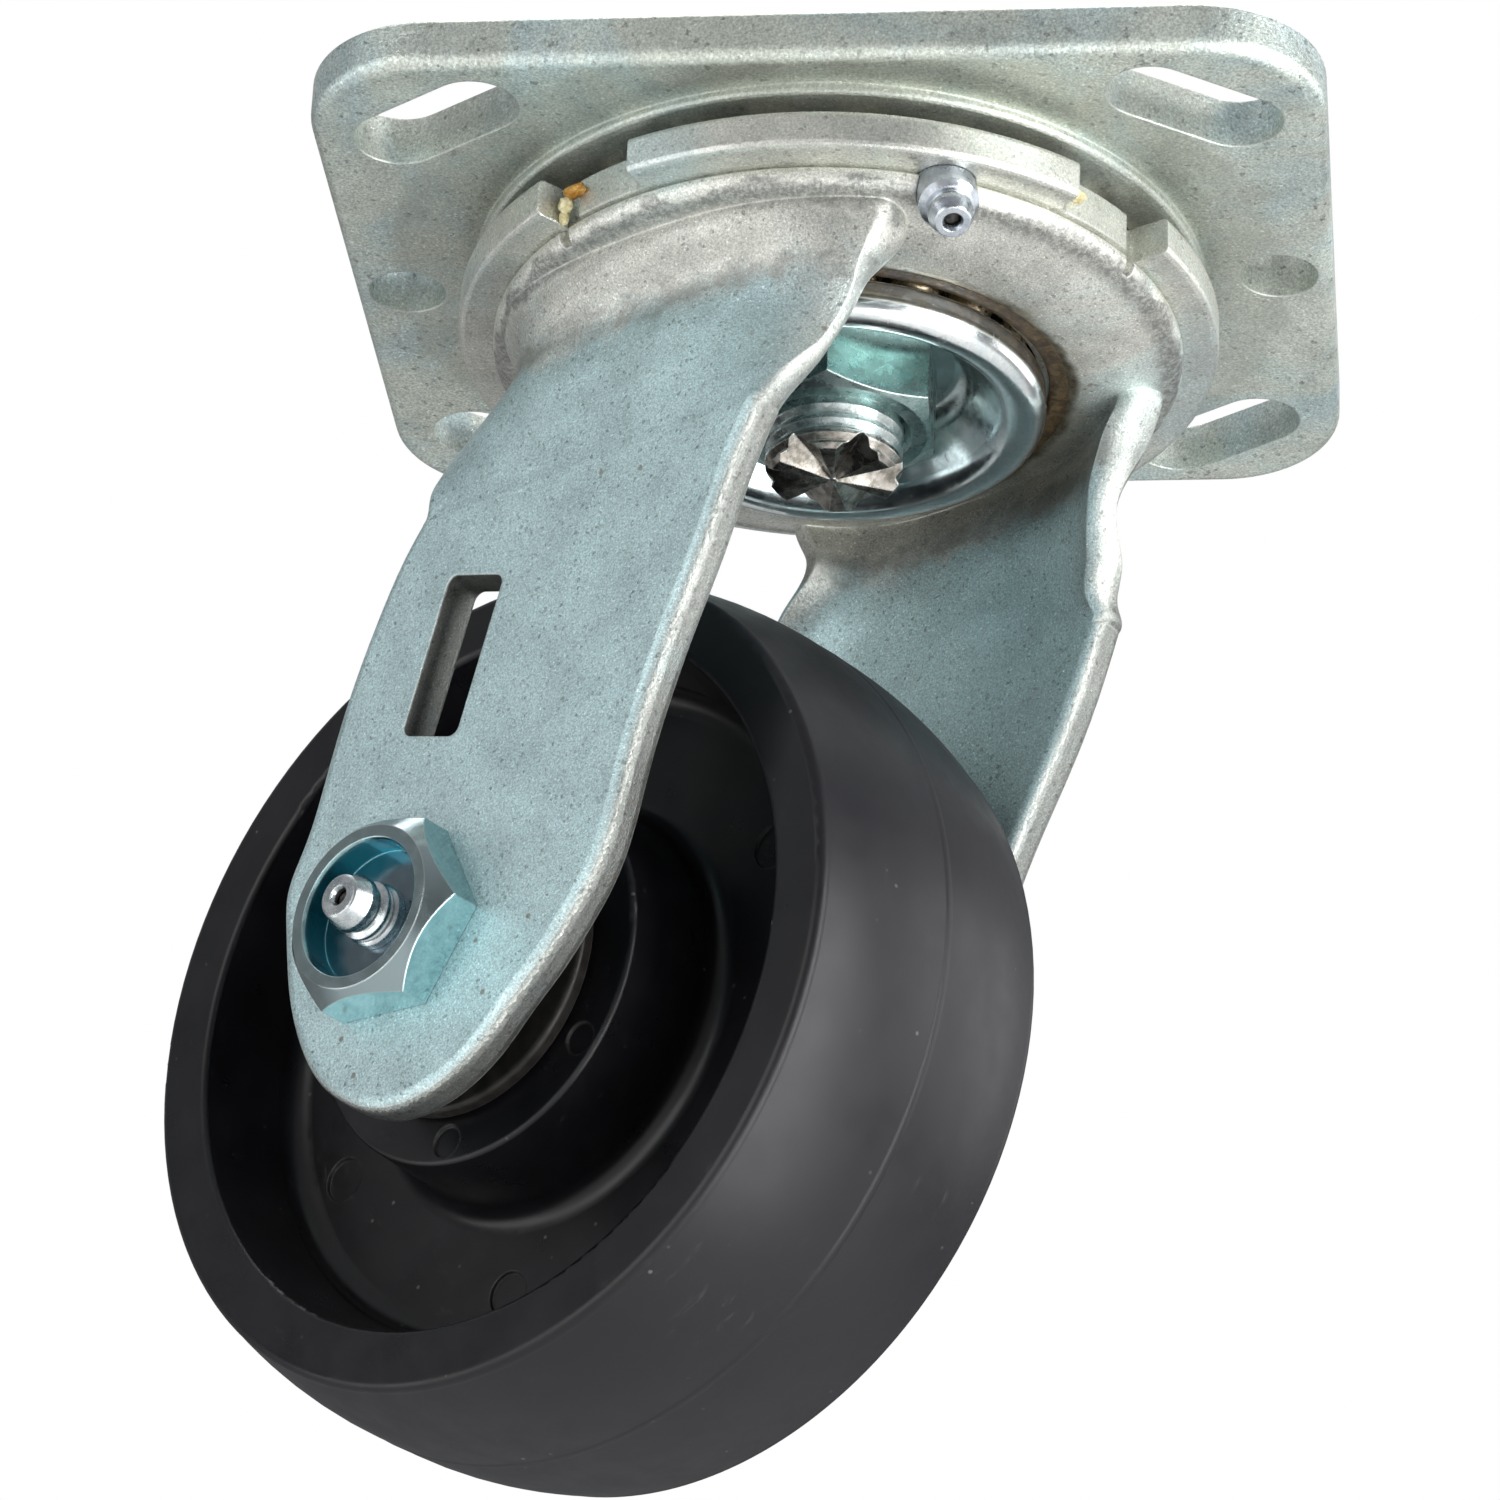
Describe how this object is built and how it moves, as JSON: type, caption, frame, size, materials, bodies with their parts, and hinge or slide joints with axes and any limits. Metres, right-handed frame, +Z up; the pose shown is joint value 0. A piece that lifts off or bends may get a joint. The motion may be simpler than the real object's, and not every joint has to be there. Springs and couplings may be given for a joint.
{
  "type": "swivel caster",
  "caption": "Top-plate swivel caster with a double ball race, kingpin, two-leg fork, grease fittings and a rigid plastic wheel on a roller bearing.",
  "frame": {"origin": "centre of the plate's mounting face, on the swivel axis", "axes": "+Z up out of the mounting face, X along the plate's long side, Y along its short side; the fork trails to the -X +Y side at rest"},
  "size_m": [0.1347, 0.1076, 0.1452],
  "materials": {
    "top_plate": "zinc plated, satin",
    "kingpin": "zinc plated",
    "kingpin_nut": "bright zinc plated",
    "cup_washer": "bright zinc plated",
    "raceway_disc": "zinc plated, satin",
    "fork": "zinc plated, blue cast",
    "upper_balls": "polished",
    "lower_balls": "polished",
    "swivel_fitting": "zinc plated",
    "swivel_fitting_ball": "polished",
    "swivel_fitting_spring": "drawn wire",
    "axle_bolt": "bright zinc plated",
    "axle_fitting": "zinc plated",
    "axle_fitting_ball": "polished",
    "axle_fitting_spring": "drawn wire",
    "axle_nut": "bright zinc plated",
    "axle_nut_insert": "nylon",
    "axle_sleeve": "ground",
    "hub_washer_near": "black nylon",
    "hub_washer_far": "black nylon",
    "bearing_rollers": "ground",
    "roller_cage": "nylon",
    "bearing_sleeve": "ground",
    "wheel": "moulded polyolefin, semi-gloss"
  },
  "bodies": {
    "plate_assembly": {"top_plate": "top_plate", "kingpin": "kingpin", "kingpin_nut": "kingpin_nut", "cup_washer": "cup_washer"},
    "fork_assembly": {"fork": "fork", "raceway_disc": "raceway_disc", "swivel_fitting": "swivel_fitting", "swivel_fitting_ball": "swivel_fitting_ball", "swivel_fitting_spring": "swivel_fitting_spring", "axle_bolt": "axle_bolt", "axle_fitting": "axle_fitting", "axle_fitting_ball": "axle_fitting_ball", "axle_fitting_spring": "axle_fitting_spring", "axle_nut": "axle_nut", "axle_nut_insert": "axle_nut_insert", "axle_sleeve": "axle_sleeve", "hub_washer_near": "hub_washer_near", "hub_washer_far": "hub_washer_far"},
    "wheel_assembly": {"wheel": "wheel", "bearing_sleeve": "bearing_sleeve"},
    "roller_set": {"bearing_rollers": "bearing_rollers", "roller_cage": "roller_cage"},
    "upper_ball_set": {"upper_balls": "upper_balls"},
    "lower_ball_set": {"lower_balls": "lower_balls"}
  },
  "joints": [
    {"name": "swivel", "type": "hinge", "parent": "plate_assembly", "child": "fork_assembly", "pos_m": [0, 0, 0], "axis": [0, 0, 1], "continuous": true},
    {"name": "wheel_spin", "type": "hinge", "parent": "fork_assembly", "child": "wheel_assembly", "pos_m": [-0.02688, 0.01773, -0.0941], "axis": [0.5505, 0.8348, 0], "continuous": true},
    {"name": "roller_orbit", "type": "hinge", "parent": "fork_assembly", "child": "roller_set", "pos_m": [-0.02688, 0.01773, -0.0941], "axis": [0.5505, 0.8348, 0], "continuous": true},
    {"name": "upper_ball_orbit", "type": "hinge", "parent": "plate_assembly", "child": "upper_ball_set", "pos_m": [0, 0, 0], "axis": [0, 0, 1], "continuous": true},
    {"name": "lower_ball_orbit", "type": "hinge", "parent": "plate_assembly", "child": "lower_ball_set", "pos_m": [0, 0, 0], "axis": [0, 0, 1], "continuous": true}
  ],
  "couplings": [
    {"joint": "roller_orbit", "follows": "wheel_spin", "ratio": 0.58},
    {"joint": "upper_ball_orbit", "follows": "swivel", "ratio": 0.5},
    {"joint": "lower_ball_orbit", "follows": "swivel", "ratio": 0.5}
  ]
}
